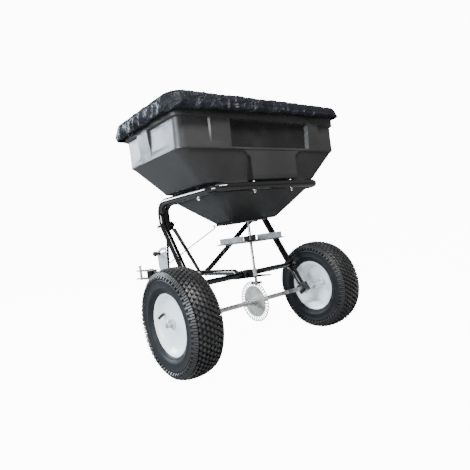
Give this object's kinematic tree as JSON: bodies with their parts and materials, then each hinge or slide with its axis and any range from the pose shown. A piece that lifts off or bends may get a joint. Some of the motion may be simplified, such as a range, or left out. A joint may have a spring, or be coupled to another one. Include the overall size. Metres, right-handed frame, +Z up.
{
  "type": "tow behind spreader",
  "caption": "Tow-behind broadcast spreader: covered rectangular hopper on a bent tube frame, turf tyres, ground-driven spinner disc, flow lever and pin hitch.",
  "frame": {"origin": "on the ground plane under the tyres, below the middle of the overall box", "axes": "+Z up, +Y the towing direction along the drawbar, +X to the machine's right along the axle"},
  "size_m": [0.7254, 1.097, 0.812],
  "materials": {
    "hopper_ring": "gloss",
    "left_leg": "gloss",
    "right_leg": "gloss",
    "left_axle_bracket": "gloss",
    "right_axle_bracket": "gloss",
    "left_axle_bush": "satin",
    "right_axle_bush": "satin",
    "front_arch": "gloss",
    "cross_tube": "gloss",
    "left_cross_bolt": "satin",
    "right_cross_bolt": "satin",
    "shaft_bracket": "gloss",
    "lower_bearing": "satin",
    "cross_saddle": "gloss",
    "drawbar": "gloss",
    "left_brace": "gloss",
    "right_brace": "gloss",
    "left_leg_bolt": "satin",
    "right_leg_bolt": "satin",
    "brace_bolt": "satin",
    "clevis_block": "gloss",
    "lower_clevis_plate": "satin",
    "upper_clevis_plate": "satin",
    "rear_clevis_bolt": "satin",
    "front_clevis_bolt": "satin",
    "hopper": "satin",
    "flow_plate": "gloss",
    "left_gate_rail": "gloss",
    "right_gate_rail": "gloss",
    "upper_bearing": "satin",
    "quadrant_plate": "satin",
    "lever_pivot_bolt": "satin",
    "quadrant_bolt": "satin",
    "axle": "satin",
    "left_tyre": "matt",
    "left_rim": "satin",
    "left_hub": "satin",
    "left_valve_stem": "matt",
    "left_washer": "satin",
    "right_washer": "satin",
    "left_cotter_pin": "satin",
    "right_cotter_pin": "satin",
    "drive_gear": "satin",
    "gear_collar": "satin",
    "right_tyre": "matt",
    "right_rim": "satin",
    "right_hub": "satin",
    "right_valve_stem": "matt",
    "impeller_shaft": "satin",
    "pinion": "satin",
    "impeller": "satin",
    "agitator": "satin",
    "control_lever": "gloss",
    "lever_grip": "satin",
    "flow_gate": "satin",
    "link_rod": "satin",
    "flow_stop": "satin",
    "hitch_pin": "satin",
    "rain_cover": "satin",
    "cover_drawcord": "satin"
  },
  "bodies": {
    "frame": {"hopper_ring": "hopper_ring", "left_leg": "left_leg", "right_leg": "right_leg", "left_axle_bracket": "left_axle_bracket", "right_axle_bracket": "right_axle_bracket", "left_axle_bush": "left_axle_bush", "right_axle_bush": "right_axle_bush", "front_arch": "front_arch", "cross_tube": "cross_tube", "left_cross_bolt": "left_cross_bolt", "right_cross_bolt": "right_cross_bolt", "shaft_bracket": "shaft_bracket", "lower_bearing": "lower_bearing", "cross_saddle": "cross_saddle", "drawbar": "drawbar", "left_brace": "left_brace", "right_brace": "right_brace", "left_leg_bolt": "left_leg_bolt", "right_leg_bolt": "right_leg_bolt", "brace_bolt": "brace_bolt", "clevis_block": "clevis_block", "lower_clevis_plate": "lower_clevis_plate", "upper_clevis_plate": "upper_clevis_plate", "rear_clevis_bolt": "rear_clevis_bolt", "front_clevis_bolt": "front_clevis_bolt", "hopper": "hopper", "flow_plate": "flow_plate", "left_gate_rail": "left_gate_rail", "right_gate_rail": "right_gate_rail", "upper_bearing": "upper_bearing", "quadrant_plate": "quadrant_plate", "lever_pivot_bolt": "lever_pivot_bolt", "quadrant_bolt": "quadrant_bolt"},
    "drive_axle": {"axle": "axle", "left_tyre": "left_tyre", "left_rim": "left_rim", "left_hub": "left_hub", "left_valve_stem": "left_valve_stem", "left_washer": "left_washer", "right_washer": "right_washer", "left_cotter_pin": "left_cotter_pin", "right_cotter_pin": "right_cotter_pin", "drive_gear": "drive_gear", "gear_collar": "gear_collar"},
    "idle_wheel": {"right_tyre": "right_tyre", "right_rim": "right_rim", "right_hub": "right_hub", "right_valve_stem": "right_valve_stem"},
    "spinner": {"impeller_shaft": "impeller_shaft", "pinion": "pinion", "impeller": "impeller", "agitator": "agitator"},
    "lever": {"control_lever": "control_lever", "lever_grip": "lever_grip"},
    "gate": {"flow_gate": "flow_gate", "link_rod": "link_rod"},
    "stop": {"flow_stop": "flow_stop"},
    "pin": {"hitch_pin": "hitch_pin"},
    "cover": {"rain_cover": "rain_cover", "cover_drawcord": "cover_drawcord"}
  },
  "joints": [
    {"name": "axle_spin", "type": "hinge", "parent": "frame", "child": "drive_axle", "pos_m": [0, -0.3675, 0.165], "axis": [1, 0, 0], "continuous": true},
    {"name": "idle_wheel_spin", "type": "hinge", "parent": "frame", "child": "idle_wheel", "pos_m": [0, -0.3675, 0.165], "axis": [1, 0, 0], "continuous": true},
    {"name": "spinner_spin", "type": "hinge", "parent": "frame", "child": "spinner", "pos_m": [0, -0.3675, 0.3], "axis": [0, 0, 1], "continuous": true},
    {"name": "lever_swing", "type": "hinge", "parent": "frame", "child": "lever", "pos_m": [-0.0137, 0.2035, 0.2625], "axis": [-1, 0, 0], "range_deg": [0, 29]},
    {"name": "gate_slide", "type": "slide", "parent": "frame", "child": "gate", "axis": [0, 1, 0], "range_m": [0, 0.02499]},
    {"name": "stop_set", "type": "hinge", "parent": "frame", "child": "stop", "pos_m": [-0.021, 0.2035, 0.2625], "axis": [-1, 0, 0], "range_deg": [0, 5]},
    {"name": "pin_lift", "type": "slide", "parent": "frame", "child": "pin", "axis": [0, 0, 1], "range_m": [0, 0.08]},
    {"name": "cover_lift", "type": "slide", "parent": "frame", "child": "cover", "axis": [0, 0, 1], "range_m": [0, 0.25]}
  ],
  "couplings": [
    {"joint": "spinner_spin", "follows": "axle_spin", "ratio": 3.3333},
    {"joint": "gate_slide", "follows": "lever_swing", "m_per_rad": 0.04934}
  ]
}
